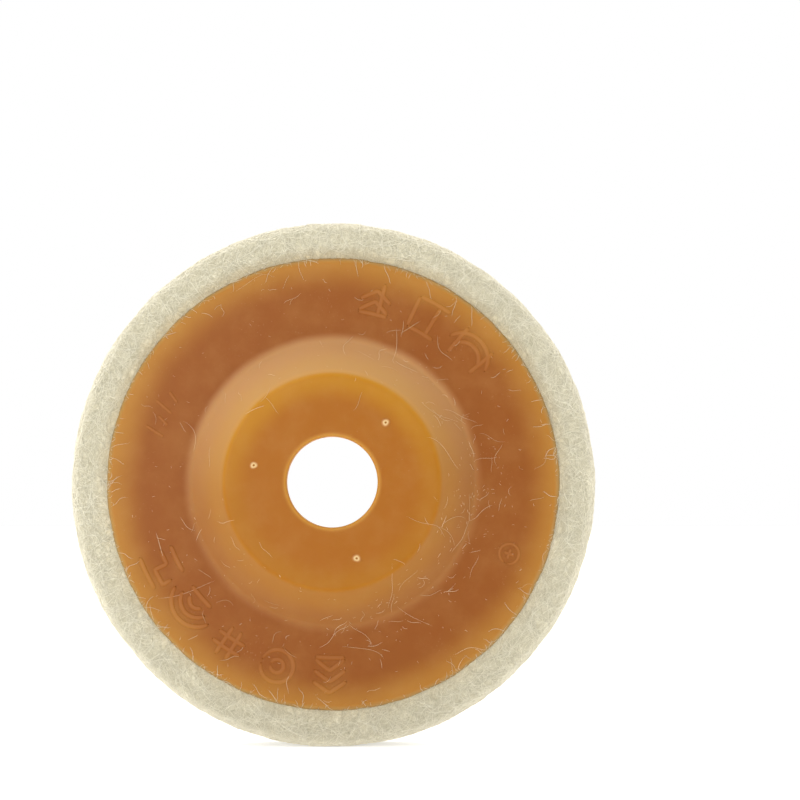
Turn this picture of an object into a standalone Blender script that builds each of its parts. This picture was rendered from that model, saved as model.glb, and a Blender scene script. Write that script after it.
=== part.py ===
"""Felt polishing wheel: a ring of pressed wool felt bonded to a moulded plastic cap.

The wheel turns about the Y axis. The cap's raised hub faces -Y, where the machine's flange
sits, and the felt's working face looks along +Y. The origin is the centre of the wheel's box.
Every piece is a ring turned about its local Z axis, which one parent empty lays along world -Y.
"""

import math

import bpy

# Driving dimensions, in metres.
FELT_DIAMETER = 0.095
FELT_HOLE = 0.050
FELT_THICKNESS = 0.008
FELT_OUTER_ROUND = 0.0012
FELT_INNER_ROUND = 0.0006

BORE_DIAMETER = 0.016
CAP_DIAMETER = 0.082
CAP_THICKNESS = 0.0020
CAP_RIM_ROUND = 0.0011
EDGE_BREAK = 0.0003

HUB_RISE = 0.0086
HUB_TOP_DIAMETER = 0.0382
HUB_BASE_DIAMETER = 0.0515
HUB_EDGE_ROUND = 0.0012
HUB_FOOT_ROUND = 0.0014
HUB_PLATE_THICKNESS = 0.0030
RECESS_TOP_DIAMETER = 0.0346
RECESS_MOUTH_DIAMETER = 0.0480
RECESS_CORNER_ROUND = 0.0010
BORE_EDGE_ROUND = 0.0004

GLUE_THICKNESS = 0.0004
GLUE_INNER_DIAMETER = 0.0508
GLUE_OUTER_DIAMETER = 0.0804
CLEARANCE = 0.0003

TURN_STEPS = 72
ARC_STEPS = 3
SMOOTH_ANGLE = math.radians(35)
MERGE_DISTANCE = 0.00001

# Heights along the wheel's axis, worked out from the machine side to the working face.
STACK_HEIGHT = HUB_RISE + CAP_THICKNESS + CLEARANCE + GLUE_THICKNESS + CLEARANCE + FELT_THICKNESS
HUB_FACE = STACK_HEIGHT / 2
PLATE_UNDERSIDE = HUB_FACE - HUB_PLATE_THICKNESS
CAP_BACK = HUB_FACE - HUB_RISE
CAP_UNDERSIDE = CAP_BACK - CAP_THICKNESS
GLUE_TOP = CAP_UNDERSIDE - CLEARANCE
GLUE_BOTTOM = GLUE_TOP - GLUE_THICKNESS
FELT_BACK = GLUE_BOTTOM - CLEARANCE
FELT_FACE = FELT_BACK - FELT_THICKNESS


def clear_scene():
    """Empties the scene, so that only the wheel is left in it."""
    for item in list(bpy.data.objects):
        bpy.data.objects.remove(item, do_unlink=True)


def make_collection(name):
    """A collection for the wheel's pieces, linked to the scene."""
    collection = bpy.data.collections.new(name)
    bpy.context.scene.collection.children.link(collection)
    return collection


def make_material(name, colour, roughness, metallic=0.0):
    """A plain Principled material."""
    material = bpy.data.materials.new(name)
    material.use_nodes = True
    shader = material.node_tree.nodes["Principled BSDF"]
    shader.inputs["Base Color"].default_value = (*colour, 1.0)
    shader.inputs["Roughness"].default_value = roughness
    shader.inputs["Metallic"].default_value = metallic
    material.diffuse_color = (*colour, 1.0)
    return material


def corner_arc(before, corner, after, radius):
    """The points of the arc that rounds one corner and meets both of its edges at a tangent."""
    to_before = math.atan2(before[1] - corner[1], before[0] - corner[0])
    to_after = math.atan2(after[1] - corner[1], after[0] - corner[0])
    opening = math.remainder(to_after - to_before, math.tau)
    middle = to_before + opening / 2
    reach = radius / math.sin(abs(opening) / 2)
    centre = (corner[0] + reach * math.cos(middle), corner[1] + reach * math.sin(middle))
    sweep = math.copysign(math.pi - abs(opening), opening)
    points = []
    for step in range(ARC_STEPS + 1):
        angle = middle + math.pi + sweep * (0.5 - step / ARC_STEPS)
        points.append((centre[0] + radius * math.cos(angle), centre[1] + radius * math.sin(angle)))
    return points


def rounded_profile(corners):
    """A closed outline from (radius from the axis, height, corner round) triples."""
    outline = []
    for index, (reach, height, rounding) in enumerate(corners):
        before = corners[index - 1]
        after = corners[(index + 1) % len(corners)]
        if rounding:
            outline += corner_arc(before, (reach, height), after, rounding)
        else:
            outline.append((reach, height))
    return outline


def turned_ring(name, corners, material, collection, axis_empty):
    """A ring: a closed outline beside the axis, swept once round it by a Screw modifier."""
    outline = rounded_profile(corners)
    count = len(outline)
    mesh = bpy.data.meshes.new(name)
    points = [(reach, 0.0, height) for reach, height in outline]
    edges = [(index, (index + 1) % count) for index in range(count)]
    mesh.from_pydata(points, edges, [])
    mesh.materials.append(material)
    ring = bpy.data.objects.new(name, mesh)
    collection.objects.link(ring)
    ring.parent = axis_empty
    screw = ring.modifiers.new("turn", "SCREW")
    screw.axis = "Z"
    screw.angle = math.tau
    screw.steps = TURN_STEPS
    screw.render_steps = TURN_STEPS
    screw.use_merge_vertices = True
    screw.merge_threshold = MERGE_DISTANCE
    screw.use_smooth_shade = True
    return ring


def shade_rounds(ring):
    """Fixes the turned mesh in place and shades its rounds smooth, with its corners left sharp."""
    graph = bpy.context.evaluated_depsgraph_get()
    turned = bpy.data.meshes.new_from_object(ring.evaluated_get(graph))
    ring.modifiers.clear()
    outline = ring.data
    ring.data = turned
    bpy.data.meshes.remove(outline)
    turned.name = ring.name
    turned.shade_smooth()
    turned.set_sharp_from_angle(angle=SMOOTH_ANGLE)


def make_backing_cap(collection, axis_empty):
    """The moulded cap: a flat flange round a hollow conical hub, which has the spindle bore."""
    corners = [
        (BORE_DIAMETER / 2, HUB_FACE, BORE_EDGE_ROUND),
        (HUB_TOP_DIAMETER / 2, HUB_FACE, HUB_EDGE_ROUND),
        (HUB_BASE_DIAMETER / 2, CAP_BACK, HUB_FOOT_ROUND),
        (CAP_DIAMETER / 2, CAP_BACK, CAP_RIM_ROUND),
        (CAP_DIAMETER / 2, CAP_UNDERSIDE, EDGE_BREAK),
        (RECESS_MOUTH_DIAMETER / 2, CAP_UNDERSIDE, EDGE_BREAK),
        (RECESS_TOP_DIAMETER / 2, PLATE_UNDERSIDE, RECESS_CORNER_ROUND),
        (BORE_DIAMETER / 2, PLATE_UNDERSIDE, BORE_EDGE_ROUND),
    ]
    material = make_material("amber_plastic", (0.42, 0.14, 0.035), 0.42)
    return turned_ring("backing_cap", corners, material, collection, axis_empty)


def make_adhesive_film(collection, axis_empty):
    """The thin ring of set glue between the cap's flange and the felt."""
    corners = [
        (GLUE_INNER_DIAMETER / 2, GLUE_TOP, 0),
        (GLUE_OUTER_DIAMETER / 2, GLUE_TOP, 0),
        (GLUE_OUTER_DIAMETER / 2, GLUE_BOTTOM, 0),
        (GLUE_INNER_DIAMETER / 2, GLUE_BOTTOM, 0),
    ]
    material = make_material("set_glue", (0.62, 0.50, 0.30), 0.35)
    return turned_ring("adhesive_film", corners, material, collection, axis_empty)


def make_felt_ring(collection, axis_empty):
    """The polishing ring: dense pressed wool, with softly rounded edges."""
    corners = [
        (FELT_HOLE / 2, FELT_BACK, FELT_INNER_ROUND),
        (FELT_DIAMETER / 2, FELT_BACK, FELT_OUTER_ROUND),
        (FELT_DIAMETER / 2, FELT_FACE, FELT_OUTER_ROUND),
        (FELT_HOLE / 2, FELT_FACE, FELT_INNER_ROUND),
    ]
    material = make_material("wool_felt", (0.66, 0.60, 0.43), 0.95)
    return turned_ring("felt_ring", corners, material, collection, axis_empty)


def main():
    clear_scene()
    collection = make_collection("felt_polishing_wheel")
    axis_empty = bpy.data.objects.new("wheel_axis", None)
    axis_empty.rotation_euler = (math.pi / 2, 0.0, 0.0)
    collection.objects.link(axis_empty)
    makers = (make_backing_cap, make_adhesive_film, make_felt_ring)
    rings = [maker(collection, axis_empty) for maker in makers]
    bpy.context.view_layer.update()
    for ring in rings:
        shade_rounds(ring)


main()
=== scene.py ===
"""Looks of a felt polishing wheel: moulded amber cap, set glue, pressed wool ring and its loose hairs.

The wheel's axis lies along Y. The hub faces -Y and the felt's working face looks along +Y.
"""

import math

import bpy
import numpy as np
from bpy.props import FloatProperty, FloatVectorProperty, PointerProperty
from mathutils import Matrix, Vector


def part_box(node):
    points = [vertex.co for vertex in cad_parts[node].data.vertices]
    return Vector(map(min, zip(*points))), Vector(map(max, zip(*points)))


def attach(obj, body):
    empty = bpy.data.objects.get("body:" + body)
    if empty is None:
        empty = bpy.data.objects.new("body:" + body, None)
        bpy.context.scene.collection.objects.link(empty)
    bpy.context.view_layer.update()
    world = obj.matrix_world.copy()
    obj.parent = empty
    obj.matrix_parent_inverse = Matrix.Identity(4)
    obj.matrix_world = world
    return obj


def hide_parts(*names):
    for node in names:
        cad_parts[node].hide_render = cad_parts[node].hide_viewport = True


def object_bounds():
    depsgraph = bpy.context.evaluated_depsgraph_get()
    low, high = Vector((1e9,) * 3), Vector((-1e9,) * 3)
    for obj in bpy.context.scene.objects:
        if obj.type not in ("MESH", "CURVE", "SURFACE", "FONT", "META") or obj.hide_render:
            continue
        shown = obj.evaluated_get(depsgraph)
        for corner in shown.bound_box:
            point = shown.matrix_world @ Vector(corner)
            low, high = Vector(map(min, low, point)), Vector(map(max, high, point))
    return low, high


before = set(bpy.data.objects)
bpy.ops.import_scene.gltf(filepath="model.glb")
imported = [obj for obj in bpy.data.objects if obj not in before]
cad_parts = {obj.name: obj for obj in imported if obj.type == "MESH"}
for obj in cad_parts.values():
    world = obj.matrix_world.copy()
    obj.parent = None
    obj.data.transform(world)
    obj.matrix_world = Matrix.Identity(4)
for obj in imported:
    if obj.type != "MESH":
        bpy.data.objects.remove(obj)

bl_info = {
    "name": "Felt Polishing Wheel",
    "version": (1, 0, 0),
    "blender": (4, 5, 0),
    "location": "3D View > Sidebar > Felt Wheel",
    "description": "Builds the looks of a felt polishing wheel round its packed solids",
    "category": "Add Mesh",
}

CAD_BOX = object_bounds()
CAP_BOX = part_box("backing_cap")
GLUE_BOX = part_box("adhesive_film")
FELT_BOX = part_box("felt_ring")
BODY = "root"
MM = 0.001
LENGTH = {"subtype": "DISTANCE", "unit": "LENGTH"}
ANGLE = {"subtype": "ANGLE", "unit": "ROTATION"}
COLOUR = {"subtype": "COLOR", "min": 0, "max": 1}

# ---- settings


class CapSizes(bpy.types.PropertyGroup):
    """Sizes of the moulded cap, in metres."""

    bore: FloatProperty(
        name="Bore", description="Radius of the spindle bore", default=8.0 * MM, **LENGTH)
    hub_top: FloatProperty(
        name="Hub top", description="Radius of the hub's flat top", default=19.1 * MM, **LENGTH)
    hub_foot: FloatProperty(
        name="Hub foot", description="Radius of the hub where it meets the flange",
        default=25.75 * MM, **LENGTH)
    recess_top: FloatProperty(
        name="Hollow top", description="Radius of the hub's hollow under its plate",
        default=17.3 * MM, **LENGTH)
    recess_mouth: FloatProperty(
        name="Hollow mouth", description="Radius of the hub's hollow at its mouth",
        default=24.0 * MM, **LENGTH)
    plate: FloatProperty(
        name="Plate", description="Thickness of the hub's top plate", default=3.0 * MM, **LENGTH)
    flange: FloatProperty(
        name="Flange", description="Thickness of the flange", default=2.0 * MM, **LENGTH)
    gate_ring: FloatProperty(
        name="Gate ring", description="Radius of the circle of moulding gates on the hub",
        default=14.1 * MM, **LENGTH)
    gate_turn: FloatProperty(
        name="Gate turn", description="Angle of the first moulding gate",
        default=math.radians(48), **ANGLE)
    mark_height: FloatProperty(
        name="Mark height", description="How far the plain marks stand off the flange",
        default=0.09 * MM, **LENGTH)


class FeltSizes(bpy.types.PropertyGroup):
    """Sizes of the pressed ring and its fibres."""

    hole: FloatProperty(
        name="Hole", description="Radius of the felt ring's hole", default=25.0 * MM, **LENGTH)
    swell: FloatProperty(
        name="Swell", description="How far the wool swells up beside the pressed-on cap",
        default=2.3 * MM, **LENGTH)
    fibre: FloatProperty(
        name="Fibre", description="Radius of one wool fibre", default=0.030 * MM, **LENGTH)
    band_density: FloatProperty(
        name="Cap-side density", description="Fibres on the cap side, for each square millimetre",
        default=3.6)
    rim_density: FloatProperty(
        name="Rim density", description="Fibres on the rim, for each square millimetre", default=2.6)
    face_density: FloatProperty(
        name="Face density", description="Fibres on the working face, for each square millimetre",
        default=2.6)


class WheelFinish(bpy.types.PropertyGroup):
    """Colours of the wheel, as scene-linear values."""

    annulus: FloatVectorProperty(
        name="Flange", description="Plastic of the flange over the felt",
        default=(0.222, 0.062, 0.004), **COLOUR)
    # Painted light: the lighter band by the flange's edge stands in for light getting into the plastic
    # there.
    edge: FloatVectorProperty(
        name="Flange edge", description="Plastic near the flange's edge, where light comes through",
        default=(0.340, 0.147, 0.018), **COLOUR)
    hub: FloatVectorProperty(
        name="Hub", description="Plastic of the hub's top",
        default=(0.286, 0.091, 0.001), **COLOUR)
    # Painted light: the hollow's bright orange stands in for light shining through the hub's walls.
    hollow: FloatVectorProperty(
        name="Hollow", description="Plastic inside the hub", default=(0.62, 0.21, 0.010), **COLOUR)
    wool: FloatVectorProperty(
        name="Wool", description="Pressed wool", default=(0.545, 0.503, 0.366), **COLOUR)
    # Partly darker fibres, partly painted shade in the wool's hollows.
    fleck: FloatVectorProperty(
        name="Fleck", description="Hollows and darker fibres in the wool",
        default=(0.44, 0.40, 0.28), **COLOUR)
    fibre: FloatVectorProperty(
        name="Fibre", description="Light fibres on the wool's surface",
        default=(0.83, 0.79, 0.635), **COLOUR)
    glue: FloatVectorProperty(
        name="Glue", description="Set glue", default=(0.62, 0.50, 0.30), **COLOUR)


class StageSettings(bpy.types.PropertyGroup):
    """The camera, the lamps and the floor."""

    distance: FloatProperty(
        name="Distance", description="From the camera to the felt's cap side",
        default=0.340, **LENGTH)
    lens: FloatProperty(
        name="Lens", description="Focal length in millimetres", default=83.8)
    azimuth: FloatProperty(
        name="Azimuth", description="How far the camera stands to the right of the axis",
        default=math.radians(1.6), **ANGLE)
    elevation: FloatProperty(
        name="Elevation", description="How far the camera stands above the axis",
        default=math.radians(-0.8), **ANGLE)
    aim_right: FloatProperty(
        name="Aim right", description="How far right of the wheel's centre the camera points",
        default=math.radians(2.03), **ANGLE)
    aim_up: FloatProperty(
        name="Aim up", description="How far above the wheel's centre the camera points",
        default=math.radians(2.55), **ANGLE)
    sky: FloatProperty(
        name="Sky", description="Strength of the white surroundings", default=1.0)
    key: FloatProperty(
        name="Key", description="Power of the large lamp in front, in watts", default=0.80)
    top: FloatProperty(
        name="Top", description="Power of the lamp straight above, in watts", default=1.6)
    back: FloatProperty(
        name="Back", description="Power of the lamp behind, in watts", default=0.62)
    floor_size: FloatProperty(
        name="Floor", description="Side of the floor", default=8.0, **LENGTH)


GROUPS = {
    "felt_wheel_cap": CapSizes,
    "felt_wheel_felt": FeltSizes,
    "felt_wheel_finish": WheelFinish,
    "felt_wheel_stage": StageSettings,
}

# ---- surfaces


HASH_PRIMES = np.array([73856093, 19349663, 83492791])
HASH_SEED, HASH_STIR = 40503, 1274126177


def lattice_noise(points, cell, seed):
    """Smooth noise from -1 to 1.

    A fixed random number sits at each corner of a cubic lattice whose cells have the given side.
    Inside a cell the eight corners are blended with the fade t * t * (3 - 2 * t) on each axis.
    """
    scaled = points / cell
    base = np.floor(scaled).astype(np.int64)
    part = scaled - base
    fade = part * part * (3 - 2 * part)
    total = np.zeros(points.shape[:-1])
    for corner in np.ndindex(2, 2, 2):
        mixed = ((base + np.array(corner)) * HASH_PRIMES).sum(axis=-1) + seed * HASH_SEED
        mixed = (mixed ^ (mixed >> 13)) * HASH_STIR
        value = ((mixed ^ (mixed >> 16)) & 0xFFFF) / 0x7FFF - 1
        total += value * np.where(corner, fade, 1 - fade).prod(axis=-1)
    return total


def around(reach, place, turn):
    """Points (r cos a, y, r sin a) at a distance r from the wheel's axis and a place y along it."""
    return np.stack(
        np.broadcast_arrays(reach * np.cos(turn), place, reach * np.sin(turn)), axis=-1)


class Outline:
    """A closed outline beside the wheel's axis, stored by its running length.

    Each corner is (reach from the axis, place along the axis, round, spacing of the run after it).
    A round is the circular arc that touches both runs, and a corner with no round is one point.
    """

    def __init__(self, corners):
        spots = np.array([corner[:2] for corner in corners], float)
        before = np.roll(spots, 1, axis=0) - spots
        after = np.roll(spots, -1, axis=0) - spots
        before /= np.linalg.norm(before, axis=1)[:, None]
        after /= np.linalg.norm(after, axis=1)[:, None]
        half = np.arccos((before * after).sum(axis=1)) / 2
        rounds = np.array([corner[2] for corner in corners])
        tangent = (rounds / np.tan(half))[:, None] * (rounds > 0)[:, None]
        starts, ends = spots + before * tangent, spots + after * tangent
        pieces = []
        for i, (_, _, rounding, spacing) in enumerate(corners):
            if rounding:
                inward = (before[i] + after[i]) / np.linalg.norm(before[i] + after[i])
                centre = spots[i] + inward * rounding / math.sin(half[i])
                sweep = math.pi - 2 * half[i]
                count = max(3, math.ceil(rounding * sweep / min(spacing, rounding / 4)))
                side = np.sign(before[i][0] * after[i][1] - before[i][1] * after[i][0])
                first = math.atan2(*(starts[i] - centre)[::-1])
                turn = first - side * np.linspace(0, sweep, count, endpoint=False)
                pieces.append(centre + rounding * np.stack([np.cos(turn), np.sin(turn)], axis=1))
            target = starts[(i + 1) % len(corners)]
            steps = max(1, math.ceil(np.linalg.norm(target - ends[i]) / spacing))
            share = np.linspace(0, 1, steps, endpoint=False)[:, None]
            pieces.append(ends[i] * (1 - share) + target * share)
        self.points = np.concatenate(pieces)
        closed = np.concatenate([self.points, self.points[:1]])
        self.runs = np.concatenate([[0], np.cumsum(np.linalg.norm(np.diff(closed, axis=0), axis=1))])
        self.length = self.runs[-1]
        self.closed = closed
        ahead = np.roll(self.points, -1, axis=0) - np.roll(self.points, 1, axis=0)
        area = (closed[:-1, 0] * closed[1:, 1] - closed[1:, 0] * closed[:-1, 1]).sum()
        normals = np.stack([ahead[:, 1], -ahead[:, 0]], axis=1) * np.sign(area)
        normals /= np.linalg.norm(normals, axis=1)[:, None]
        self.normals = np.concatenate([normals, normals[:1]])

    def run_at(self, reach, place):
        """The running length of the outline's point nearest to the one given."""
        return self.runs[np.linalg.norm(self.points - (reach, place), axis=1).argmin()]

    def skin(self, run, turn, lift=0.0):
        """Points and outward normals of the surface turned from the outline.

        At running length s and angle a the point is (r(s) cos a, y(s), r(s) sin a), moved out
        along the normal by the lift.
        """
        run = np.mod(run, self.length)
        reach, place, normal_reach, normal_place = (
            np.interp(run, self.runs, column) for column in (*self.closed.T, *self.normals.T))
        normal = around(normal_reach, normal_place, turn)
        normal /= np.linalg.norm(normal, axis=-1)[..., None]
        return around(reach, place, turn) + normal * np.asarray(lift)[..., None], normal

    def scatter(self, draw, count, low, high):
        """Running lengths from low to high, drawn so that equal areas get equal shares."""
        fine = np.linspace(low, high, 400)
        reach = np.interp(np.mod(fine, self.length), self.runs, self.closed[:, 0])
        share = np.cumsum(reach)
        return np.interp(draw.random(count), share / share[-1], fine)


def grid_quads(rows, columns):
    """Quads of a grid whose rows and columns both close on themselves."""
    row, column = np.meshgrid(np.arange(rows), np.arange(columns), indexing="ij")
    below, beside = (row + 1) % rows, (column + 1) % columns
    corners = (row * columns + column, row * columns + beside,
               below * columns + beside, below * columns + column)
    return np.stack([corner.ravel() for corner in corners], axis=1)


def enclosed_volume(points, faces):
    """Signed volume of a closed mesh: a sixth of the sum of a . (b x c) over its triangles."""
    total = 0.0
    for second in range(1, faces.shape[1] - 1):
        a, b, c = (points[faces[:, i]] for i in (0, second, second + 1))
        total += np.einsum("ij,ij->", a, np.cross(b, c)) / 6
    return total


def add_piece(name, points, faces, material, replaces=(), tones=None):
    """A smooth mesh piece on the wheel's body, with its faces pointing out of the shape."""
    if enclosed_volume(points, faces) < 0:
        faces = faces[:, ::-1]
    mesh = bpy.data.meshes.new(name)
    mesh.vertices.add(len(points))
    mesh.vertices.foreach_set("co", points.astype(np.float32).ravel())
    mesh.loops.add(faces.size)
    mesh.loops.foreach_set("vertex_index", faces.astype(np.int32).ravel())
    mesh.polygons.add(len(faces))
    mesh.polygons.foreach_set("loop_start", np.arange(0, faces.size, faces.shape[1], dtype=np.int32))
    mesh.update(calc_edges=True)
    mesh.shade_smooth()
    if tones is not None:
        tone = mesh.attributes.new("tone", "FLOAT", "POINT")
        tone.data.foreach_set("value", tones.astype(np.float32).ravel())
    if mesh.validate(verbose=False):
        raise RuntimeError(f"{name} has broken faces")
    mesh.materials.append(material)
    piece = bpy.data.objects.new(name, mesh)
    bpy.context.scene.collection.objects.link(piece)
    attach(piece, BODY)
    if replaces:
        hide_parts(*replaces)
    return piece


def turned_grid(outline, steps):
    """Points and normals of the whole turned surface: one column of the outline for each angle."""
    turn = np.linspace(0, math.tau, steps, endpoint=False)[:, None]
    return outline.skin(outline.runs[None, :-1], turn)


def add_grid(name, points, material, replaces):
    """A piece from a grid of points whose rows and columns both close on themselves."""
    faces = grid_quads(*points.shape[:2])
    return add_piece(name, points.reshape(-1, 3), faces, material, replaces)


def capped_faces(rows, columns):
    """Triangles of a tube of rows of corners, closed at each end by a fan to an end point."""
    near = np.arange(columns)
    far = (near + 1) % columns
    parts = [np.stack([np.full(columns, rows * columns), near, far], axis=1)]
    for row in range(rows - 1):
        low, high = row * columns, (row + 1) * columns
        parts.append(np.stack([low + near, high + near, high + far], axis=1))
        parts.append(np.stack([low + near, high + far, low + far], axis=1))
    end = (rows - 1) * columns
    parts.append(np.stack([end + near, np.full(columns, rows * columns + 1), end + far], axis=1))
    return np.concatenate(parts)


def add_tubes(name, tubes, rows, columns, material, tones=None):
    """One piece of many closed tubes, each with rows * columns corners and then two end points."""
    offsets = np.arange(len(tubes)) * (rows * columns + 2)
    faces = (capped_faces(rows, columns)[None] + offsets[:, None, None]).reshape(-1, 3)
    return add_piece(name, np.concatenate(tubes), faces, material, tones=tones)


# ---- fibres


FIBRE_SIDES = 3
FIBRE_BED = 0.06 * MM
FIBRE_HABIT = {
    "rings": 3, "bend": 1.2, "wobble": 0.5, "arch": 0.0, "tip": 0.0, "tone": (0.0, 1.0),
    "relief": None,
}


def fibre_points(paths, normals, radii):
    """Corners of fibres whose middles follow the paths.

    Each ring is the path's point plus radius * (cos a * side + sin a * up), where up is the
    surface's normal made square to the path and side is square to both. The two end points of a
    path close the fibre.
    """
    along = np.gradient(paths, axis=1)
    along /= np.linalg.norm(along, axis=2)[..., None] + 1e-12
    up = normals - along * (normals * along).sum(axis=2)[..., None]
    up /= np.linalg.norm(up, axis=2)[..., None] + 1e-12
    side = np.cross(along, up)
    turn = np.linspace(0, math.tau, FIBRE_SIDES, endpoint=False)[None, None, :, None]
    inner = slice(1, -1)
    rings = paths[:, inner, None] + radii[:, inner, None, None] * (
        np.cos(turn) * side[:, inner, None] + np.sin(turn) * up[:, inner, None])
    flat = rings.reshape(len(paths), -1, 3)
    return np.concatenate([flat, paths[:, :1], paths[:, -1:]], axis=1)


def wandering(outline, start, turn, heading, bend, wobble, length, lift, relief):
    """Paths of fibres that wander over a turned surface.

    The heading is its first value plus the bend times t plus a sine wobble. The place along the
    outline is the running sum of cos(heading), and the way round the wheel that of sin(heading).
    """
    steps = lift.shape[1]
    share = np.linspace(0, 1, steps)[None, :]
    size, waves, phase = (value[:, None] for value in wobble)
    angle = heading[:, None] + bend[:, None] * share
    angle = angle + size * np.sin(math.tau * (waves * share + phase))
    stride = length[:, None] / (steps - 1)
    run = start[:, None] + np.cumsum(np.cos(angle), axis=1) * stride
    around = np.cumsum(np.sin(angle), axis=1) * stride
    reach = np.interp(np.mod(start, outline.length), outline.runs, outline.closed[:, 0])
    turn = turn[:, None] + around / reach[:, None]
    flat, _ = outline.skin(run, turn)
    points, normals = outline.skin(run, turn, lift + (relief(flat) if relief else 0.0))
    return points, normals


def add_fibres(name, outline, draw, low, high, material, **habit):
    """One mesh of many fibres laid on a turned surface between two running lengths.

    The lift over the surface is a low arch, rest + arch * sin(pi t), plus tip * t * t for fibres
    that stand off at one end. A fibre's radius swells as 0.55 + 0.45 * sin(pi t) along it. What
    the habit leaves out comes from FIBRE_HABIT, or is drawn evenly over the surface.
    """
    habit = {**FIBRE_HABIT, **habit}
    count, rings = habit["count"], habit["rings"]
    start = habit["start"] if "start" in habit else outline.scatter(draw, count, low, high)
    turn = habit["turn"] if "turn" in habit else draw.uniform(0, math.tau, count)
    heading = habit["heading"] if "heading" in habit else draw.uniform(0, math.tau, count)
    bend = draw.normal(0, habit["bend"], count)
    wobble = (draw.uniform(0, habit["wobble"], count), draw.uniform(0.5, 1.5, count),
              draw.random(count))
    length = habit["length"] if "length" in habit else draw.uniform(*habit["lengths"], count)
    share = np.linspace(0, 1, rings + 2)[None, :]
    radius = habit["radius"] * draw.uniform(0.7, 1.25, count)[:, None]
    radii = radius * (0.55 + 0.45 * np.sin(math.pi * share))
    rest = draw.uniform(*habit["rest"], count)[:, None]
    arch = draw.uniform(0, habit["arch"], count)[:, None] * np.sin(math.pi * share)
    tip = draw.uniform(0, habit["tip"], count)[:, None] * share**2
    paths, normals = wandering(
        outline, start, turn, heading, bend, wobble, length, rest + arch + tip, habit["relief"])
    points = fibre_points(paths, normals, radii)
    floor = CAD_BOX[0].z + habit["radius"] / 2
    points[..., 2] = np.maximum(points[..., 2], floor)
    dull, bright = habit["tone"]
    tones = np.repeat(dull + (bright - dull) * draw.random(count), points.shape[1])
    return add_tubes(name, points, rings, FIBRE_SIDES, material, tones)


# ---- shader bench


class Wire:
    """A value socket that adds Math nodes when it is used in an expression."""

    def __init__(self, bench, socket):
        self.bench = bench
        self.socket = socket

    def maths(self, operation, *others):
        return self.bench.node("ShaderNodeMath", {"operation": operation}, [self, *others])

    def __add__(self, other):
        return self.maths("ADD", other)

    def __sub__(self, other):
        return self.maths("SUBTRACT", other)

    def __mul__(self, other):
        return self.maths("MULTIPLY", other)

    def __truediv__(self, other):
        return self.maths("DIVIDE", other)

    def __pow__(self, other):
        return self.maths("POWER", other)

    def __rsub__(self, other):
        return self.bench.node("ShaderNodeMath", {"operation": "SUBTRACT"}, [other, self])

    __radd__ = __add__
    __rmul__ = __mul__

    def fade(self, low, high):
        """0 below low, 1 above high and a smooth step between them. High may be under low."""
        settings = {"interpolation_type": "SMOOTHSTEP"}
        values = {"Value": self, "From Min": low, "From Max": high}
        return self.bench.node("ShaderNodeMapRange", settings, values, "Result")


class Bench:
    """Builds one material's node tree."""

    def __init__(self, name):
        self.material = bpy.data.materials.new(name)
        self.material.use_nodes = True
        self.tree = self.material.node_tree
        self.shader = self.tree.nodes["Principled BSDF"]

    def feed(self, socket, value):
        if isinstance(value, Wire):
            self.tree.links.new(value.socket, socket)
        else:
            socket.default_value = value

    def find(self, sockets, key):
        if isinstance(key, int):
            return sockets[key]
        plain = str(key).lower().replace("_", " ")
        names = ((s, s.identifier.lower().replace("_", " "), s.name.lower()) for s in sockets)
        return next(s for s, *known in names if plain in known)

    def node(self, kind, settings=None, values=None, output=0):
        """Adds a node: its settings first, then the values or wires of its sockets."""
        added = self.tree.nodes.new(kind)
        for key, setting in (settings or {}).items():
            setattr(added, key, setting)
        pairs = values.items() if isinstance(values, dict) else enumerate(values or [])
        for key, value in pairs:
            self.feed(self.find(added.inputs, key), value)
        return Wire(self, self.find(added.outputs, output))

    def place(self):
        """The piece's own coordinates, in metres."""
        return self.node("ShaderNodeTexCoord", output="Object")

    def polar(self, place):
        """The place along X, Y and Z, and its distance from the wheel's axis."""
        split = self.node("ShaderNodeSeparateXYZ", values=[place]).socket.node
        x, y, z = (Wire(self, socket) for socket in split.outputs)
        return x, y, z, (x * x + z * z) ** 0.5

    def noise(self, vector, cell, detail=2.0, rough=0.5, warp=0.0):
        """Noise from 0 to 1 whose features are about one cell across."""
        values = {"Vector": vector, "Scale": 1 / cell, "Detail": detail, "Roughness": rough,
                  "Distortion": warp}
        return self.node("ShaderNodeTexNoise", {}, values, "Fac")

    def stretch(self, vector, scale, turn):
        """The coordinates turned about the wheel's axis and scaled along their own axes."""
        turned = self.node("ShaderNodeMapping", {"vector_type": "POINT"},
                           {"Vector": vector, "Rotation": (0, turn, 0)}, "Vector")
        return self.node("ShaderNodeVectorMath", {"operation": "MULTIPLY"}, [turned, scale])

    def blend(self, share, low, high):
        """Mixes two colours."""
        low, high = (c if isinstance(c, Wire) else (*c, 1.0) for c in (low, high))
        values = {"Factor_Float": share, "A_Color": low, "B_Color": high}
        return self.node("ShaderNodeMix", {"data_type": "RGBA"}, values, "Result_Color")

    def cover(self, colour, layers):
        """Lays colours over the first one, each with the share that it covers."""
        for share, over in layers:
            colour = self.blend(share, colour, over)
        return colour

    def tone(self):
        """The number that each of the piece's points carries."""
        return self.node("ShaderNodeAttribute", {"attribute_name": "tone"}, output="Fac")

    def bump(self, height, distance, strength):
        values = {"Height": height, "Distance": distance, "Strength": strength}
        return self.node("ShaderNodeBump", {}, values, "Normal")

    def finish(self, **sockets):
        for key, value in sockets.items():
            self.feed(self.find(self.shader.inputs, key), value)
        return self.material


def shade(colour, factor):
    """The colour made darker or lighter by one factor."""
    return tuple(min(1.0, channel * factor) for channel in colour)
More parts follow.
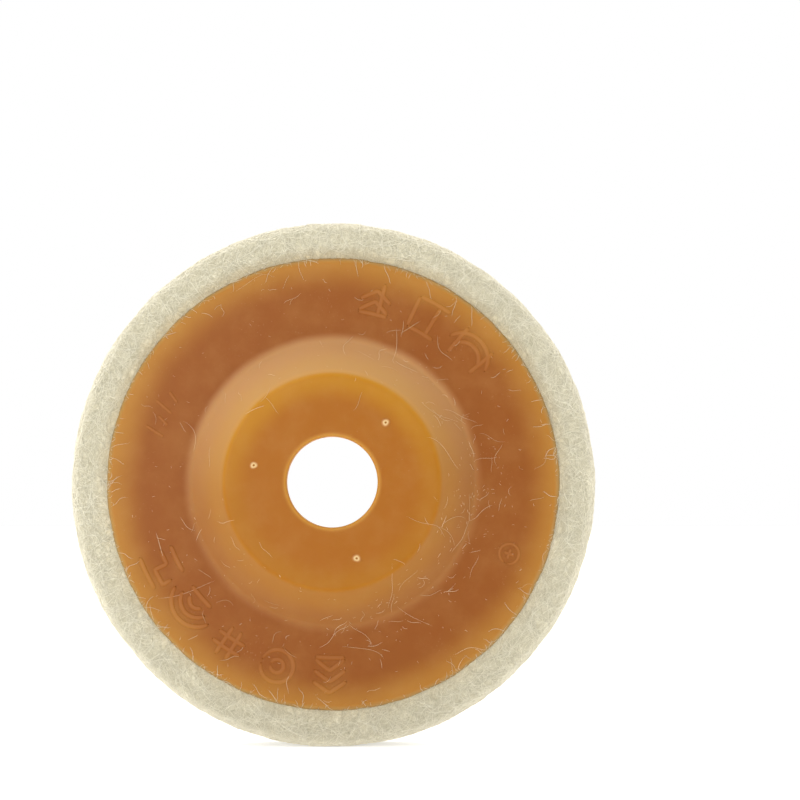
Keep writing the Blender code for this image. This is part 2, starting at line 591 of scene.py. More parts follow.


# The plastic's zones: the radii in millimetres between which each fades in, and the share of the
# clouding that moves its boundary.
# Their colours are partly the plastic's own and partly painted light that shines through it: lighter
# near the flange's edge, on the cone and on the hub, darker over the felt, with a painted glow along
# the edge.
ZONES = {
    "edge": (34.0, 41.0, 1.0), "painted_edge_glow": (39.8, 40.9, 0.0), "marks": (28.5, 29.5, 0.0),
    "foot": (27.5, 25.2, 0.3), "cone": (24.4, 20.6, 0.4), "hub_rim": (19.8, 18.9, 0.1),
    "corner": (18.4, 19.1, 0.0), "corner_end": (20.4, 19.6, 0.0), "hub": (18.0, 13.6, 0.6),
    "bore": (9.0, 8.2, 0.0),
}
# Scene-linear colours laid over the user's. A pair runs from the plain plastic to its painted milky
# highlight on the upper side.
TINTS = {
    # The edge glow tint is a painted glow along the flange's edge.
    "painted_edge_glow": (0.32, 0.210, 0.078), "corner": (0.52, 0.27, 0.04), "bore": (0.42, 0.21, 0.03),
    "foot": ((0.305, 0.123, 0.032), (0.440, 0.231, 0.092)),
    "cone": ((0.330, 0.139, 0.025), (0.440, 0.235, 0.075)),
    "hub_rim": ((0.305, 0.112, 0.002), (0.355, 0.147, 0.003)),
    # The marks tint is a painted highlight on the tops of the raised marks.
    "mottle": (0.42, 0.22, 0.065), "marks": (0.50, 0.25, 0.11), "dust": (0.60, 0.44, 0.28),
    "gate_pit": (0.26, 0.11, 0.02), "gate_lip": (0.56, 0.38, 0.17),
    "gate_skirt": (0.31, 0.108, 0.008), "stained_and_shaded_wool": (0.44, 0.345, 0.19),
    "painted_amber_light_wool": (0.62, 0.36, 0.15), "stained_and_shaded_strand": (0.46, 0.36, 0.20),
    "painted_rim_light": (0.94, 0.89, 0.73), "dark_strand": (0.56, 0.52, 0.375),
    "dark_hair": (0.60, 0.32, 0.13), "light_hair": (0.92, 0.66, 0.40),
}
WALL_HALF = 0.9 * MM
SOFT_EDGE = 0.3 * MM
# Painted light: the wool is made lighter over the rounded rim, standing in for its bright edge.
PAINTED_RIM_LIGHT_START, PAINTED_RIM_LIGHT_END = 45.6 * MM, 47.2 * MM
STROKE_TURNS = (0.3, 0.95, 1.6, 2.1, 2.8)


def amber_plastic(bench, finish, cap, depth=0.40):
    """Translucent amber plastic: zones by thickness, which partly paint the light coming through it, a
    painted milky highlight on the upper side, clouding, dust and scuffs.
    """
    place = bench.place()
    x, y, z, reach = bench.polar(place)
    drift = (bench.noise(place, 14 * MM, 3.0, 0.55) - 0.5) * (3.0 * MM)
    # Painted highlight: the plastic turns milky the more it faces up, standing in for the overhead
    # light's glossy reflection.
    painted_top_sheen = ((z - x * 0.09) / reach).fade(-0.3, 0.85)
    mottle = bench.noise(place, 5 * MM, 4.0, 0.6)
    dust = bench.noise(place, 0.35 * MM, 2.0, 0.6).fade(0.66, 0.80)
    patch = bench.noise(place, 9 * MM, 2.0, 0.5).fade(0.42, 0.70)
    scuff = bench.noise(bench.stretch(place, (1.0, 1.0, 14.0), 0.6), 3 * MM, 3.0, 0.7)

    def zone(key):
        low, high, wander = ZONES[key]
        return (reach + drift * wander if wander else reach).fade(low * MM, high * MM)

    front, back = CAP_BOX[0].y, CAP_BOX[1].y
    plate_middle = front + cap.plate / 2
    slope = (cap.recess_mouth - cap.recess_top) / (-front - cap.plate + back)
    # Painted glow: inside the hub the plastic is coloured as if lit through its walls.
    wall = (y - plate_middle) * slope + (cap.recess_top + WALL_HALF)
    painted_glow_inside = (wall - reach).fade(-SOFT_EDGE, SOFT_EDGE)
    painted_glow_inside = painted_glow_inside * (y - plate_middle).fade(-SOFT_EDGE, SOFT_EDGE)
    # Painted highlight: the tops of the raised marks are made lighter, as if catching the light.
    raised = (y - (back - cap.flange)).fade(-0.03 * MM, -0.09 * MM) * zone("marks")
    # Painted light in the zones below: the edge, edge glow, foot, cone and hub colours stand in for
    # light coming through the plastic.
    colour = bench.cover(finish.annulus, (
        (zone("edge"), finish.edge),
        (zone("painted_edge_glow") * 0.7, TINTS["painted_edge_glow"]),
        (zone("foot"), bench.blend(painted_top_sheen, *TINTS["foot"])),
        (zone("cone"), bench.blend(painted_top_sheen, *TINTS["cone"])),
        (zone("hub_rim"), bench.blend(painted_top_sheen, *TINTS["hub_rim"])),
        # Painted highlight: a pale ring where the hub's top turns into its cone, on the upper side
        # only.
        (zone("corner") * zone("corner_end") * painted_top_sheen * 0.20, TINTS["corner"]),
        (zone("hub"), finish.hub),
        # Painted highlight: a lighter ring round the bore's rounded rim.
        (zone("bore") * 0.7, TINTS["bore"]),
        (painted_glow_inside, finish.hollow),
        (mottle.fade(0.35, 0.8) * 0.15, TINTS["mottle"]),
        (raised * 0.09, TINTS["marks"]),
        (dust * patch * 0.35, TINTS["dust"]),
    ))
    rough = 0.38 + mottle * 0.10 + scuff.fade(0.55, 0.75) * 0.06 + dust * 0.15
    grain = bench.noise(place, 0.9 * MM, 3.0, 0.5) + scuff * 0.25
    return bench.finish(
        base_color=colour, roughness=rough, normal=bench.bump(grain, 0.02 * MM, 0.5),
        specular_ior_level=0.15, subsurface_weight=depth, subsurface_radius=(1.0, 0.55, 0.25),
        subsurface_scale=2.2 * MM, ior=1.49)


def gate_plastic(bench):
    """Torn plastic at the moulding gates: a dark pit, a pale torn ring and a skirt like the hub."""
    speck = bench.noise(bench.place(), 0.12 * MM, 3.0, 0.6)
    reach = bench.tone() + (speck - 0.5) * 0.16
    colour = bench.cover(TINTS["gate_pit"], (
        (reach.fade(0.16, 0.32), TINTS["gate_lip"]), (reach.fade(0.42, 0.85), TINTS["gate_skirt"])))
    return bench.finish(base_color=colour, roughness=0.4, specular_ior_level=0.3,
                        normal=bench.bump(speck, 0.02 * MM, 0.6))


def glue_stain(bench, place):
    """Share of the warm tone beside the cap: partly glue and dust left in the wool, partly painted
    shadow of the cap's edge, most at the top.
    """
    _, y, z, reach = bench.polar(place)
    drift = (bench.noise(place, 4 * MM) - 0.5) * (2.0 * MM)
    beside = (reach + drift).fade(43.8 * MM, 41.0 * MM) * y.fade(3.2 * MM, 2.2 * MM)
    # Painted shade: the share is larger on the upper side, where the cap's edge shades the wool from
    # the light above.
    return beside * (0.45 + (z / reach).fade(-0.3, 0.7) * 0.55)


def wool_felt(bench, finish):
    """Pressed wool: matted strokes in several directions, grey-green flecks that are partly darker
    fibres and partly painted shade in hollows, and soft clouding.
    """
    place = bench.place()
    _, y, _, reach = bench.polar(place)
    swirl = bench.node("ShaderNodeTexNoise", {}, {"Vector": place, "Scale": 300.0, "Detail": 1.0},
                       "Color")
    curl = bench.node("ShaderNodeVectorMath", {"operation": "MULTIPLY_ADD"},
                      [swirl, (0.9 * MM,) * 3, place])
    strokes = 0.0
    for index, turn in enumerate(STROKE_TURNS):
        moved = bench.node("ShaderNodeVectorMath", {"operation": "ADD"},
                           [curl, (7 * MM * index, 3 * MM * index, 0)])
        lines = bench.noise(bench.stretch(moved, (1.0, 0.9, 0.10), turn), 0.15 * MM, 0.0)
        strokes = lines.fade(0.56, 0.66) * (0.34 + 0.04 * index) + strokes
    fleck = bench.noise(place, 0.38 * MM, 2.0, 0.6).fade(0.60, 0.74)
    cloud = bench.noise(place, 7 * MM, 3.0, 0.6)
    # Painted light: the wool inside the hole is tinted orange, standing in for light that comes
    # through the amber cap.
    painted_amber_light_in_hole = reach.fade(26.2 * MM, 25.2 * MM) * y.fade(8.6 * MM, 3.0 * MM)
    colour = bench.cover(shade(finish.wool, 0.94), (
        (cloud, shade(finish.wool, 1.05)),
        (strokes.fade(0.0, 1.0) * 0.45, shade(finish.fibre, 0.92)),
        (fleck * 0.4, finish.fleck),
        # Glue stain and painted shadow of the cap's edge.
        (glue_stain(bench, place) * 0.6, TINTS["stained_and_shaded_wool"]),
        # Painted highlight on the rounded rim.
        (reach.fade(PAINTED_RIM_LIGHT_START, PAINTED_RIM_LIGHT_END) * 0.6, finish.fibre),
        (painted_amber_light_in_hole * 0.6, TINTS["painted_amber_light_wool"]),
    ))
    height = strokes - fleck * 0.5
    return bench.finish(
        base_color=colour, roughness=0.92 - strokes * 0.08,
        normal=bench.bump(height, 0.05 * MM, 0.6), sheen_weight=0.2, sheen_roughness=0.5,
        specular_ior_level=0.2)


def wool_fibre(bench, finish, warmth=0.0):
    """Single fibres: each has its own tone, with faint banding along it."""
    place = bench.place()
    reach = bench.polar(place)[3]
    dark, light = (
        tuple(plain + (warm - plain) * warmth for plain, warm in zip(*pair))
        for pair in ((TINTS["dark_strand"], TINTS["dark_hair"]), (finish.fibre, TINTS["light_hair"])))
    share = bench.tone() * 0.85 + bench.noise(place, 0.8 * MM, 1.0) * 0.15
    colour = bench.cover(dark, (
        (share.fade(0.05, 0.85), light),
        (glue_stain(bench, place) * 0.45, TINTS["stained_and_shaded_strand"]),
        # Painted highlight on the rounded rim.
        (reach.fade(45.8 * MM, PAINTED_RIM_LIGHT_END) * 0.8, TINTS["painted_rim_light"]),
    ))
    return bench.finish(base_color=colour, roughness=0.7, specular_ior_level=0.25)


def set_glue(bench, finish):
    """Set glue: dull, with uneven soak into the wool."""
    place = bench.place()
    soak = bench.noise(place, 2.5 * MM, 3.0, 0.6)
    colour = bench.blend(soak, shade(finish.glue, 0.75), shade(finish.glue, 1.1))
    return bench.finish(base_color=colour, roughness=0.3 + soak * 0.25,
                        normal=bench.bump(soak, 0.05 * MM, 0.5))


def stage_floor(bench):
    """Plain white floor, lit a little from itself so that it stays even."""
    tone = bench.noise(bench.place(), 0.8, 2.0)
    colour = bench.blend(tone, (0.86, 0.86, 0.86), (0.89, 0.89, 0.89))
    return bench.finish(base_color=colour, roughness=0.8, specular_ior_level=0.1,
                        emission_color=(1.0, 1.0, 1.0, 1.0), emission_strength=0.42)


def material(kind, maker, *args):
    """The material of this kind, made on its own bench the first time it is asked for."""
    return bpy.data.materials.get(kind) or maker(Bench(kind), *args)


# ---- shapes


CAP_STEPS, FELT_STEPS, GLUE_STEPS = 480, 500, 360
GLUE_TO_CAP, GLUE_TO_FELT = 0.32 * MM, 0.36 * MM
GLUE_HOLE, GLUE_SQUEEZE = 25.4 * MM, 39 * MM
EJECTOR_RING = 13.0 * MM
CAP_OVERLAP = 0.45 * MM


def cap_outline(cap):
    """The cap's outline, from the bore over the hub, down its cone and out to the flange."""
    front, back = CAP_BOX[0].y, CAP_BOX[1].y
    flange = back - cap.flange
    radius = CAP_BOX[1].x
    fine, coarse = 0.4 * MM, 0.88 * MM
    return Outline([
        (cap.bore, front, 0.4 * MM, fine),
        (cap.hub_top, front, 1.2 * MM, fine),
        (cap.hub_foot, flange, 1.4 * MM, fine),
        (radius, flange, 1.1 * MM, coarse),
        (radius, back, 0.3 * MM, 3 * coarse),
        (cap.recess_mouth, back, 0.3 * MM, fine),
        (cap.recess_top, front + cap.plate, 1.0 * MM, fine),
        (cap.bore, front + cap.plate, 0.4 * MM, coarse),
    ])


def felt_outline(felt):
    """The ring's outline: cap side, its swelling beside the cap, rim, working face and hole."""
    low, high = FELT_BOX[0].y, FELT_BOX[1].y
    radius = FELT_BOX[1].x
    beside = CAP_BOX[1].x - CAP_OVERLAP
    spacing = 0.3 * MM
    return Outline([
        (felt.hole, low, 0.6 * MM, 2.0 * MM),
        (beside, low, 0.2 * MM, spacing),
        (beside, low - felt.swell, 0.15 * MM, spacing),
        (radius, low - felt.swell, 2.0 * MM, spacing),
        (radius, high, 1.2 * MM, spacing),
        (felt.hole, high, 0.6 * MM, spacing * 1.4),
    ])


def felt_relief(points):
    """How far the wool stands off its plain shape: lumps of 7, 2 and 0.8 mm, and cut marks."""
    lumps = 0.06 * lattice_noise(points, 7 * MM, 1) + 0.025 * lattice_noise(points, 2 * MM, 2)
    tufts = 0.025 * lattice_noise(points, 0.8 * MM, 3)
    reach = np.hypot(points[..., 0], points[..., 2])
    rim = np.clip((reach - 46.2 * MM) / (1.2 * MM), 0, 1)
    cuts = 0.08 * lattice_noise(points * (1.0, 0.3, 1.0), 6 * MM, 4)
    cuts = cuts + 0.11 * lattice_noise(points * (1.0, 0.5, 1.0), 1.9 * MM, 9)
    return (lumps + tufts + rim * cuts - 0.08) * MM


def cap_relief(points):
    """Sink and flow of the moulded skin, in hundredths of a millimetre, and its uneven outer edge."""
    reach = np.hypot(points[..., 0], points[..., 2])
    edge = np.clip((reach - 40.1 * MM) / (0.6 * MM), 0, 1)
    skin = 0.02 * lattice_noise(points, 13 * MM, 5) + 0.004 * lattice_noise(points, 2 * MM, 6)
    return (skin + edge * 0.10 * lattice_noise(points, 2.6 * MM, 10)) * MM


def make_cap(cap, finish):
    """The moulding: the cap's outline turned about the wheel's axis, moved out by its relief."""
    points, normals = turned_grid(cap_outline(cap), CAP_STEPS)
    points = points + normals * cap_relief(points)[..., None]
    plastic = material("amber_moulding", amber_plastic, finish, cap)
    return add_grid("cap_moulding", points, plastic, ("backing_cap",))


def add_craters(name, centres, height, plastic, full, sunk, side):
    """Low round marks on a flat, each turned about its own axis, joined in one piece.

    height(q) is the mark's height at the share q of its full reach, and sunk is how deep its
    closed underside lies. Side is -1 where the flat faces -Y and 1 where it faces +Y.
    """
    rows, columns = 18, 28
    share = np.linspace(1 / rows, 1, rows)[:, None]
    turn = np.linspace(0, math.tau, columns, endpoint=False)[None, :]
    craters = []
    for number, centre in enumerate(centres):
        wobble = 1 + 0.06 * np.sin(2 * turn + number) + 0.05 * np.sin(3 * turn + 2 * number)
        grid = around(full * share * wobble, side * height(share), turn)
        tips = [(0, side * height(0.0), 0), (0, -side * sunk, 0)]
        craters.append(np.concatenate([grid.reshape(-1, 3), tips]) + centre)
    tones = np.tile([*np.repeat(share[:, 0], columns), 0.0, 1.0], len(centres))
    return add_tubes(name, craters, rows, columns, plastic, tones)


def ring_of(reach, place, first, count):
    """Centres spaced evenly round the wheel's axis."""
    return around(reach, place, first + np.arange(count) * math.tau / count)


def make_gates(cap):
    """Three broken gates: a skirt 1 - q ** 3, a torn lip exp(-((q - 0.4) / 0.14) ** 2) and a pit."""

    def height(q):
        pit = np.exp(-(q / 0.16) ** 2)
        return (0.04 * (1 - q**3) + 0.08 * np.exp(-((q - 0.4) / 0.14) ** 2) - 0.16 * pit) * MM

    centres = ring_of(cap.gate_ring, CAP_BOX[0].y, cap.gate_turn, 3)
    plastic = material("broken_gate", gate_plastic)
    return add_craters("gate_scars", centres, height, plastic, full=0.80 * MM, sunk=0.16 * MM,
                       side=-1)


def make_ejector_marks(cap, finish):
    """Round marks of the ejector pins under the hub's plate: a flat disc with a thin raised rim."""

    def height(q):
        return (0.02 + 0.06 * np.exp(-((q - 0.86) / 0.05) ** 2) - 0.06 * q**12) * MM

    centres = ring_of(EJECTOR_RING, CAP_BOX[0].y + cap.plate, cap.gate_turn + math.pi / 3, 3)
    plastic = material("thin_amber", amber_plastic, finish, cap, 0.0)
    return add_craters("ejector_marks", centres, height, plastic, full=2.1 * MM, sunk=0.2 * MM,
                       side=1)


def make_marks(cap, finish):
    """Plain raised marks on the flange: low ridges with soft sides, h = height * (1 - q ** 4).

    q runs from -1 to 1 across a stroke. Each stroke is a path in its mark's own square, from -1
    to 1, which is laid round the flange: angle = middle + x * half / reach, radius = reach + y * half.
    """
    rows, columns = 26, 12
    across = np.cos(np.linspace(0, math.pi, columns - 2))[None, :]
    flange = CAP_BOX[1].y - cap.flange
    end_share = np.linspace(-1, 1, rows)[:, None]
    taper = (1 - end_share**8) ** 0.5
    ridges = []
    for angle, reach, half, width, stroke in flange_strokes():
        corners = np.array(stroke, float)
        runs = np.concatenate([[0], np.cumsum(np.hypot(*np.diff(corners, axis=0).T))])
        share = np.linspace(0, runs[-1], rows)
        along = np.interp(share, runs, corners[:, 0]) * half
        out = np.interp(share, runs, corners[:, 1]) * half
        turn, radius = angle - along / reach, reach + out
        path = around(radius, 0.0, turn)
        ahead = np.gradient(path, axis=0)
        side = np.cross(ahead / np.linalg.norm(ahead, axis=1)[:, None], (0, 1, 0))
        wide = (width / 2 * taper * across)[..., None]
        height = cap.mark_height * (1 - across**4) * taper
        top = path[:, None] + side[:, None] * wide
        top[..., 1] = flange - height + 0.01 * MM
        base = path[:, None] + side[:, None] * wide[:, [-1, 0]]
        base[..., 1] = flange + 0.05 * MM
        grid = np.concatenate([top, base], axis=1).reshape(-1, 3)
        tips = path[[0, -1]] + (0, flange + 0.02 * MM, 0)
        ridges.append(np.concatenate([grid, tips]))
    plastic = material("thin_amber", amber_plastic, finish, cap, 0.0)
    return add_tubes("raised_marks", ridges, rows, columns, plastic)


def arc(radius, first, last, middle=(0.0, 0.0), count=24):
    """Points of a circular arc, with its angles in degrees."""
    turn = np.radians(np.linspace(first, last, count))
    return np.stack([middle[0] + radius * np.cos(turn), middle[1] + radius * np.sin(turn)], axis=1)


def flange_strokes():
    """Each stroke's angle round the flange, reach, half size, width and path."""
    ring = arc(0.9, 0, 360)
    bars = [[(-0.9, y), (0.9, y)] for y in (-0.9, -0.3, 0.3, 0.9)]
    posts = [[(x, -0.9), (x, 0.9)] for x in (-0.9, -0.3, 0.3, 0.9)]
    bent = [[(-0.9, y - 0.4), (0, y + 0.2), (0.9, y - 0.4)] for y in (-0.4, 0.2, 0.8)]
    shells = [arc(size, 20, 160, (0, -0.7)) for size in (0.5, 1.0, 1.5)]
    figures = {
        206: [bars[3], bars[0], [(-0.9, -0.2), (-0.9, 0.4), (0, 0.4), (0, -0.3), (0.9, -0.3)]],
        221: [*shells, bars[0]],
        237: [*posts[1:3], *bars[1:3]],
        253: [ring, ring * 0.4],
        269: [*bent, bars[0]],
        44: [*shells[1:], posts[0], posts[3]],
        60: [posts[0], posts[2], *bars[::3]],
        77: [*bent[:2], bars[0], posts[2]],
    }
    groups = [(degrees, 34.4, 3.3, 0.90, figure) for degrees, figure in figures.items()]
    for step, degrees in enumerate((152, 156, 160, 164)):
        groups.append((degrees, 33.6, 1.9, 0.6, [[(-0.3, -1), (0.3, 0.2 + 0.8 * (step % 2))]]))
    cross = [ring, [(0, -0.5), (0, 0.5)], [(-0.5, 0), (0.5, 0)]]
    groups.append((-22, 34.2, 2.0, 0.6, cross))
    return [(math.radians(degrees), reach * MM, half * MM, width * MM, stroke)
            for degrees, reach, half, width, figure in groups for stroke in figure]


def make_felt(felt, finish):
    """The wool: the ring's outline turned about the wheel's axis, moved out by its relief.

    The skin lies a little under the fibres, and is flat where the wheel stands on the floor.
    """
    points, normals = turned_grid(felt_outline(felt), FELT_STEPS)
    points = points + normals * (felt_relief(points) - FIBRE_BED)[..., None]
    points[..., 2] = np.maximum(points[..., 2], CAD_BOX[0].z)
    wool = material("pressed_wool", wool_felt, finish)
    body = add_grid("felt_body", points, wool, ("felt_ring",))
    return body


def make_glue(finish):
    """The glue's ring: an outline turned about the wheel's axis, with an uneven outer edge.

    It is thick enough to wet both faces.
    """
    low, high = GLUE_BOX[0].y - GLUE_TO_CAP, GLUE_BOX[1].y + GLUE_TO_FELT
    inner, outer = GLUE_HOLE, GLUE_BOX[1].x
    outline = Outline([
        (inner, low, 0.1 * MM, 2 * MM), (outer, low, 0.3 * MM, 0.3 * MM),
        (outer, high, 0.3 * MM, 2 * MM), (inner, high, 0.1 * MM, 0.5 * MM)])
    points, normals = turned_grid(outline, GLUE_STEPS)
    reach = np.hypot(points[..., 0], points[..., 2])
    edge = (reach > GLUE_SQUEEZE) * 0.25 * MM * lattice_noise(points, 3 * MM, 8)
    points = points + normals * (1, 0, 1) * edge[..., None]
    glue = material("dried_glue", set_glue, finish)
    return add_grid("glue_layer", points, glue, ("adhesive_film",))


def make_wool_fibres(felt, finish):
    """Matted fibres on the ring's four sides, strays over them, and fuzz that stands off its rim.

    A zone is its first and last running length, its density and its mean distance from the axis.
    A layer is its share of the zone's density and the habit of its fibres.
    """
    outline = felt_outline(felt)
    radius, low, high = FELT_BOX[1].x, FELT_BOX[0].y, FELT_BOX[1].y
    cap_side = outline.run_at(CAP_BOX[1].x, low - felt.swell)
    rim_start = outline.run_at(radius, low - felt.swell + 2.0 * MM)
    rim_end = outline.run_at(radius, high - 1.2 * MM)
    face_end = outline.run_at(felt.hole + 0.6 * MM, high)
    face_middle = outline.run_at(37 * MM, high)
    wool = material("wool_strand", wool_fibre, finish)
    zones = {
        "band": (cap_side, rim_start, felt.band_density, 44 * MM),
        "rim": (rim_start - 1 * MM, rim_end + 1 * MM, felt.rim_density, 47 * MM),
        "face_outer": (rim_end, face_middle, felt.face_density, 42 * MM),
        "face_inner": (face_middle, face_end, felt.face_density, 31 * MM),
        "hole": (face_end, outline.length, felt.face_density * 0.8, 25 * MM),
    }
    # Painted shade: the ground layer, which lies lowest, gets the darker tones, the loose layer above
    # it lighter ones and the strays on top the lightest, so the wool darkens down among its fibres.
    layers = {
        "ground": (1.0, {"rest": (-0.03 * MM, 0.03 * MM), "lengths": (1.5 * MM, 5.0 * MM),
                         "arch": 0.06 * MM, "bend": 1.3, "wobble": 0.6, "rings": 3,
                         "tone": (0.0, 0.55), "radius": felt.fibre}),
        "loose": (0.5, {"rest": (0.02 * MM, 0.08 * MM), "lengths": (2.5 * MM, 8.0 * MM),
                        "arch": 0.12 * MM, "bend": 1.3, "wobble": 0.5, "rings": 6,
                        "tone": (0.45, 1.0), "radius": felt.fibre * 1.3}),
    }
    draw = np.random.default_rng(11)
    for zone, (start, end, density, reach) in zones.items():
        area = math.tau * reach * (end - start) / MM**2
        for layer, (share, manner) in layers.items():
            add_fibres(f"{zone}_{layer}_fibres", outline, draw, start, end, wool,
                       count=round(area * density * share), relief=felt_relief, **manner)
    strays = 380
    add_fibres("stray_fibres", outline, draw, cap_side, face_end, wool, count=strays,
               rings=9, start=draw.uniform(cap_side, face_end, strays), relief=felt_relief,
               lengths=(5 * MM, 15 * MM), bend=1.6, wobble=0.8, radius=felt.fibre * 1.35,
               rest=(0.06 * MM, 0.10 * MM), arch=0.16 * MM, tone=(0.8, 1.0))
    # Painted light: the rim's fuzz gets only the lighter tones, for the rim's bright edge.
    add_fibres("rim_fuzz", outline, draw, rim_start - 2.6 * MM, rim_end + 2.6 * MM, wool,
               count=6500, lengths=(0.5 * MM, 2.0 * MM), relief=felt_relief,
               radius=felt.fibre * 0.9, rest=(-0.05 * MM, 0.04 * MM), tip=0.40 * MM,
               tone=(0.6, 1.0))


def gathered(draw, count, share, run, turn, outline, low, high):
    """Running lengths and angles: a share gathers round one spot, and the rest lies evenly.

    The run and the turn are each a middle and a spread, of normal distributions.
    """
    near = draw.random(count) < share
    runs = np.where(near, draw.normal(*run, count), outline.scatter(draw, count, low, high))
    turns = np.where(near, draw.normal(*turn, count), draw.uniform(0, math.tau, count))
    return runs, turns


def make_cap_hairs(cap, finish):
    """Loose wool on the cap: long hairs, short bits and wisps that cross its edge."""
    outline = cap_outline(cap)
    front, flange = CAP_BOX[0].y, CAP_BOX[1].y - cap.flange
    inner = outline.run_at(cap.bore + 0.6 * MM, front)
    foot = outline.run_at(cap.hub_foot, flange)
    outer = outline.run_at(CAP_BOX[1].x - 0.4 * MM, flange)
    rim = outline.run_at(CAP_BOX[1].x, flange + 1.2 * MM)
    hair = material("loose_hair", wool_fibre, finish, 0.72)
    wool = material("wool_strand", wool_fibre, finish)
    draw = np.random.default_rng(23)
    hub_edge = outline.run_at(cap.hub_top, front)
    count = 170
    start, turn = gathered(
        draw, count, 0.40, (foot, 2.2 * MM), (math.radians(-25), 1.1), outline,
        hub_edge - 3 * MM, outer)
    length = 1.2 * MM + draw.exponential(2.0 * MM, count)
    add_fibres("long_hairs", outline, draw, inner, outer, hair, count=count,
               rings=9, start=start, turn=turn, length=np.minimum(length, 13 * MM), bend=0.9,
               wobble=0.5, radius=0.028 * MM, rest=(0.02 * MM, 0.05 * MM), arch=0.2 * MM)
    bits = 330
    start, turn = gathered(
        draw, bits, 0.5, (foot, 4.5 * MM), (math.radians(-35), 0.8), outline, hub_edge, outer)
    add_fibres("lint", outline, draw, hub_edge, outer, hair, count=bits,
               start=start, turn=turn, lengths=(0.15 * MM, 0.8 * MM), bend=0.8, radius=0.026 * MM,
               rest=(0.01 * MM, 0.03 * MM), arch=0.08 * MM)
    add_fibres("edge_fuzz", outline, draw, rim - 1.0 * MM, rim + 1.0 * MM, wool,
               count=1100, lengths=(0.4 * MM, 1.7 * MM), bend=1.2, radius=0.026 * MM,
               rest=(0.0, 0.12 * MM), arch=0.1 * MM)
    wisps = 130
    add_fibres("edge_wisps", outline, draw, rim, rim, wool, count=wisps,
               start=draw.normal(rim, 0.35 * MM, wisps), rings=6,
               heading=draw.normal(math.pi, 0.9, wisps), lengths=(1.0 * MM, 4.5 * MM),
               bend=0.8, radius=0.026 * MM, rest=(0.02 * MM, 0.08 * MM), arch=0.15 * MM,
               tone=(0.5, 1.0))


FLOOR_GAP = 0.05 * MM
# Each lamp's place and its two sides, in metres.
LAMPS = {
    "key": ((-0.12, -0.36, 0.01), (0.25, 0.25)),
    "top": ((-0.05, 0.14, 0.56), (0.90, 0.35)),
    "back": ((0.10, 0.38, 0.34), (0.30, 0.30)),
}


def make_stage(stage):
    """White floor and surroundings, three large soft lamps and the camera."""
    scene = bpy.context.scene
    scene.view_settings.view_transform = "Standard"
    half = stage.floor_size / 2
    level = CAD_BOX[0].z - FLOOR_GAP
    mesh = bpy.data.meshes.new("floor")
    mesh.from_pydata([(-half, -half, level), (half, -half, level), (half, half, level),
                      (-half, half, level)], [], [(0, 1, 2, 3)])
    mesh.materials.append(material("floor_paint", stage_floor))
    floor = bpy.data.objects.new("floor", mesh)
    scene.collection.objects.link(floor)
    world = bpy.data.worlds.new("white_surroundings")
    world.use_nodes = True
    world.node_tree.nodes["Background"].inputs["Color"].default_value = (1, 1, 1, 1)
    world.node_tree.nodes["Background"].inputs["Strength"].default_value = stage.sky
    scene.world = world
    for name, (spot, sides) in LAMPS.items():
        add_lamp(f"{name}_lamp", spot, sides, getattr(stage, name))
    place_camera(stage)


def add_lamp(name, spot, sides, power):
    """A soft lamp with the given width and depth that points at the wheel's centre."""
    data = bpy.data.lights.new(name, "AREA")
    data.shape = "RECTANGLE"
    data.size, data.size_y = sides
    data.energy = power
    lamp = bpy.data.objects.new(name, data)
    lamp.location = spot
    lamp.rotation_euler = (-Vector(spot)).to_track_quat("-Z", "Y").to_euler()
    bpy.context.scene.collection.objects.link(lamp)


def place_camera(stage):
    """Stands the camera just off the wheel's axis and points it right of and above its centre."""
    target = Vector((0, FELT_BOX[0].y, 0))
    rise = math.cos(stage.elevation)
    back = Vector((math.sin(stage.azimuth) * rise, -math.cos(stage.azimuth) * rise,
                   math.sin(stage.elevation)))
    right = back.cross(Vector((0, 0, 1))).normalized() * -1
    up = back.cross(right)
    ahead = -back + right * math.tan(stage.aim_right) + up * math.tan(stage.aim_up)
    data = bpy.data.cameras.new("camera")
    data.lens = stage.lens
    data.sensor_width = 36.0
    camera = bpy.data.objects.new("camera", data)
    camera.location = target + back * stage.distance
    camera.rotation_euler = ahead.to_track_quat("-Z", "Y").to_euler()
    bpy.context.scene.collection.objects.link(camera)
    bpy.context.scene.camera = camera


# ---- operators


class BuildCap(bpy.types.Operator):
    """Build the moulded cap with its gate scars, ejector marks and raised marks"""

    bl_idname = "felt_wheel.build_cap"
    bl_label = "Backing cap"

    def execute(self, context):
        scene = context.scene
        make_cap(scene.felt_wheel_cap, scene.felt_wheel_finish)
        make_gates(scene.felt_wheel_cap)
        make_ejector_marks(scene.felt_wheel_cap, scene.felt_wheel_finish)
        make_marks(scene.felt_wheel_cap, scene.felt_wheel_finish)
        return {"FINISHED"}


class BuildGlue(bpy.types.Operator):
    """Build the layer of set glue"""

    bl_idname = "felt_wheel.build_glue"
    bl_label = "Glue layer"

    def execute(self, context):
        make_glue(context.scene.felt_wheel_finish)
        return {"FINISHED"}


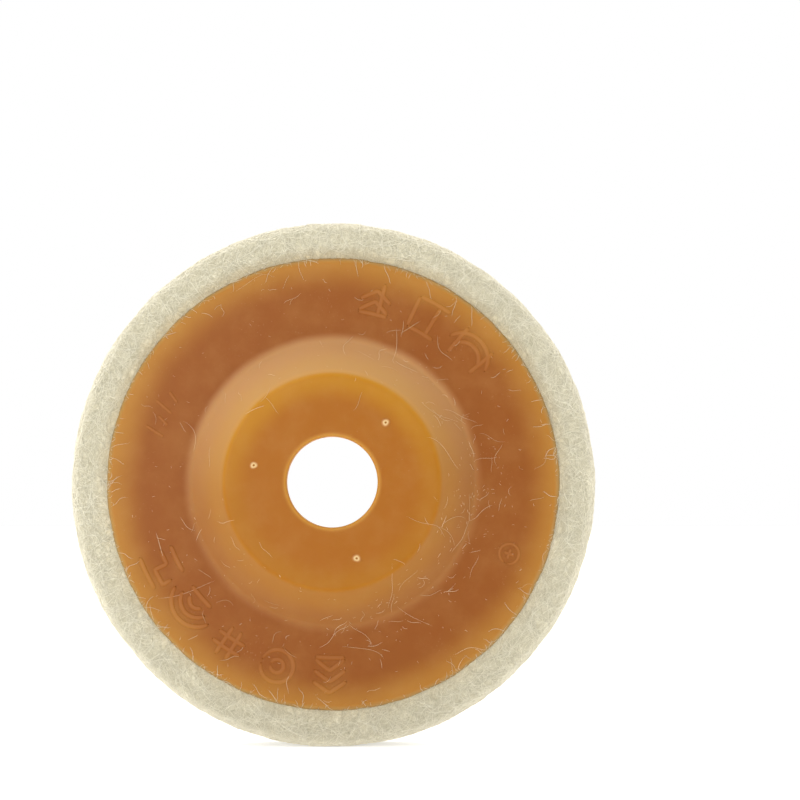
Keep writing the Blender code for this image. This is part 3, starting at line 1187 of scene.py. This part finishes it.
class BuildFelt(bpy.types.Operator):
    """Build the pressed wool ring"""

    bl_idname = "felt_wheel.build_felt"
    bl_label = "Felt ring"

    def execute(self, context):
        make_felt(context.scene.felt_wheel_felt, context.scene.felt_wheel_finish)
        return {"FINISHED"}


class BuildFibres(bpy.types.Operator):
    """Lay the fibres on the wool ring"""

    bl_idname = "felt_wheel.build_fibres"
    bl_label = "Wool fibres"

    def execute(self, context):
        make_wool_fibres(context.scene.felt_wheel_felt, context.scene.felt_wheel_finish)
        return {"FINISHED"}


class BuildHairs(bpy.types.Operator):
    """Scatter the loose hairs on the cap"""

    bl_idname = "felt_wheel.build_hairs"
    bl_label = "Loose hairs"

    def execute(self, context):
        scene = context.scene
        make_cap_hairs(scene.felt_wheel_cap, scene.felt_wheel_finish)
        return {"FINISHED"}


class BuildStage(bpy.types.Operator):
    """Set the floor, the light and the camera"""

    bl_idname = "felt_wheel.build_stage"
    bl_label = "Stage"

    def execute(self, context):
        make_stage(context.scene.felt_wheel_stage)
        return {"FINISHED"}


OPERATORS = (BuildStage, BuildCap, BuildGlue, BuildFelt, BuildFibres, BuildHairs)


class FeltWheelPanel(bpy.types.Panel):
    """Lists the wheel's settings and the steps that build it"""

    bl_idname = "VIEW3D_PT_felt_wheel"
    bl_label = "Felt Wheel"
    bl_space_type = "VIEW_3D"
    bl_region_type = "UI"
    bl_category = "Felt Wheel"

    def draw(self, context):
        layout = self.layout
        for group in GROUPS:
            settings = getattr(context.scene, group)
            box = layout.box()
            for key in settings.__annotations__:
                box.prop(settings, key)
        for operator in OPERATORS:
            layout.operator(operator.bl_idname)


CLASSES = (*GROUPS.values(), *OPERATORS, FeltWheelPanel)


def register():
    for kind in CLASSES:
        bpy.utils.register_class(kind)
    for name, kind in GROUPS.items():
        setattr(bpy.types.Scene, name, PointerProperty(type=kind))


def unregister():
    for name in GROUPS:
        delattr(bpy.types.Scene, name)
    for kind in reversed(CLASSES):
        bpy.utils.unregister_class(kind)


def main():
    register()
    for operator in OPERATORS:
        family, action = operator.bl_idname.split(".")
        getattr(getattr(bpy.ops, family), action)()


if __name__ == "__main__":
    main()
